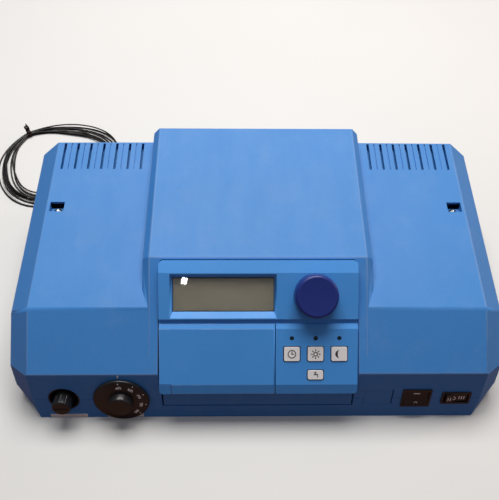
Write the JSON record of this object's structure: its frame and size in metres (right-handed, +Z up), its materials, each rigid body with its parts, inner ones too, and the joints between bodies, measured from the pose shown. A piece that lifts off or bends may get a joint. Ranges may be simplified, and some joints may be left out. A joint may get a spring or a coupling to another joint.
{
  "type": "boiler control unit",
  "caption": "Boiler control unit: winged housing with raised hood, sloping panel with display, knob, keys and flap, thermostat dial, capped limiter, two rockers and a coiled lead.",
  "frame": {"origin": "middle of the underside of the base, under the middle of the housing", "axes": "+X to the right seen from the front, +Y to the rear wall, +Z up"},
  "size_m": [0.549, 0.4001, 0.125],
  "materials": {
    "cover_blue": "fine moulded grain",
    "panel_blue": "fine moulded grain",
    "knob_navy": "satin",
    "key_ivory": "satin",
    "key_grey": "satin",
    "lcd_glass": "clear window",
    "lens_dark": "clear",
    "black_plastic": "semi-gloss",
    "cable_black": "matt",
    "zinc_steel": "zinc plated",
    "board_green": "solder mask",
    "terminal_green": "moulded",
    "core_steel": "varnished",
    "button_red": "moulded"
  },
  "bodies": {
    "housing": {"upper_cover": "cover_blue", "base_tray": "cover_blue", "back_wall": "cover_blue", "cover_screws": "zinc_steel", "panel_cradle": "cover_blue", "panel_housing": "panel_blue", "display_window": "lcd_glass", "display_module": "zinc_steel", "key_board": "board_green", "tact_switches": "black_plastic", "led_lenses": "lens_dark", "knob_encoder": "zinc_steel", "flap_hinge_pins": "zinc_steel", "blank_plate": "cover_blue", "thermostat_body": "zinc_steel", "limiter_collar": "black_plastic", "limiter_body": "zinc_steel", "power_switch_frame": "black_plastic", "mode_switch_frame": "black_plastic", "rocker_pins": "zinc_steel", "main_board": "board_green", "transformer": "core_steel", "terminal_blocks": "terminal_green", "board_screws": "zinc_steel", "cable_clamp": "black_plastic", "clamp_screws": "zinc_steel", "lead_sleeve": "black_plastic", "sensor_lead": "cable_black", "sensor_coil": "cable_black", "sensor_tail": "cable_black", "coil_tie": "black_plastic", "sensor_probe": "zinc_steel"},
    "knob": {"rotary_knob": "knob_navy"},
    "flap": {"flap": "panel_blue"},
    "auto_key": {"key_auto": "key_ivory"},
    "day_key": {"key_day": "key_ivory"},
    "night_key": {"key_night": "key_ivory"},
    "water_key": {"key_water": "key_ivory"},
    "dial": {"thermostat_dial": "black_plastic"},
    "reset_button": {"limiter_button": "button_red"},
    "cap": {"limiter_cap": "black_plastic"},
    "power_rocker": {"power_rocker": "black_plastic"},
    "mode_rocker": {"mode_rocker": "black_plastic"},
    "inner_key_1": {"inner_key_1": "key_grey"},
    "inner_key_2": {"inner_key_2": "key_grey"},
    "inner_key_3": {"inner_key_3": "key_grey"},
    "inner_key_4": {"inner_key_4": "key_grey"},
    "inner_key_5": {"inner_key_5": "key_grey"},
    "inner_key_6": {"inner_key_6": "key_grey"}
  },
  "joints": [
    {"name": "knob_turn", "type": "hinge", "parent": "housing", "child": "knob", "pos_m": [0.0505, -0.05194, 0.09629], "axis": [0, -0.6157, 0.788], "continuous": true},
    {"name": "flap_open", "type": "hinge", "parent": "housing", "child": "flap", "pos_m": [0.01145, -0.0929, 0.05971], "axis": [0, 0.788, 0.6157], "range_deg": [0, 90]},
    {"name": "auto_press", "type": "slide", "parent": "housing", "child": "auto_key", "axis": [0, 0.6157, -0.788], "range_m": [0, 0.001], "stiffness_N_per_m": 300, "springref_m": -0.001},
    {"name": "day_press", "type": "slide", "parent": "housing", "child": "day_key", "axis": [0, 0.6157, -0.788], "range_m": [0, 0.001], "stiffness_N_per_m": 300, "springref_m": -0.001},
    {"name": "night_press", "type": "slide", "parent": "housing", "child": "night_key", "axis": [0, 0.6157, -0.788], "range_m": [0, 0.001], "stiffness_N_per_m": 300, "springref_m": -0.001},
    {"name": "water_press", "type": "slide", "parent": "housing", "child": "water_key", "axis": [0, 0.6157, -0.788], "range_m": [0, 0.001], "stiffness_N_per_m": 300, "springref_m": -0.001},
    {"name": "inner_press_1", "type": "slide", "parent": "housing", "child": "inner_key_1", "axis": [0, 0.6157, -0.788], "range_m": [0, 0.001], "stiffness_N_per_m": 300, "springref_m": -0.001},
    {"name": "inner_press_2", "type": "slide", "parent": "housing", "child": "inner_key_2", "axis": [0, 0.6157, -0.788], "range_m": [0, 0.001], "stiffness_N_per_m": 300, "springref_m": -0.001},
    {"name": "inner_press_3", "type": "slide", "parent": "housing", "child": "inner_key_3", "axis": [0, 0.6157, -0.788], "range_m": [0, 0.001], "stiffness_N_per_m": 300, "springref_m": -0.001},
    {"name": "inner_press_4", "type": "slide", "parent": "housing", "child": "inner_key_4", "axis": [0, 0.6157, -0.788], "range_m": [0, 0.001], "stiffness_N_per_m": 300, "springref_m": -0.001},
    {"name": "inner_press_5", "type": "slide", "parent": "housing", "child": "inner_key_5", "axis": [0, 0.6157, -0.788], "range_m": [0, 0.001], "stiffness_N_per_m": 300, "springref_m": -0.001},
    {"name": "inner_press_6", "type": "slide", "parent": "housing", "child": "inner_key_6", "axis": [0, 0.6157, -0.788], "range_m": [0, 0.001], "stiffness_N_per_m": 300, "springref_m": -0.001},
    {"name": "dial_turn", "type": "hinge", "parent": "housing", "child": "dial", "pos_m": [-0.125, -0.11949, 0.02475], "axis": [0, -0.9397, 0.342], "range_deg": [0, 225]},
    {"name": "cap_lift", "type": "slide", "parent": "housing", "child": "cap", "axis": [0, -0.9397, 0.342], "range_m": [0, 0.03]},
    {"name": "reset_press", "type": "slide", "parent": "housing", "child": "reset_button", "axis": [0, 0.9397, -0.342], "range_m": [0, 0.002], "stiffness_N_per_m": 300, "springref_m": -0.001},
    {"name": "power_rock", "type": "hinge", "parent": "housing", "child": "power_rocker", "pos_m": [0.1464, -0.1176, 0.02353], "axis": [1, 0, 0], "range_deg": [0, 16]},
    {"name": "mode_rock", "type": "hinge", "parent": "housing", "child": "mode_rocker", "pos_m": [0.1833, -0.1176, 0.02353], "axis": [0, 0.342, 0.9397], "range_deg": [-16, 0]}
  ]
}
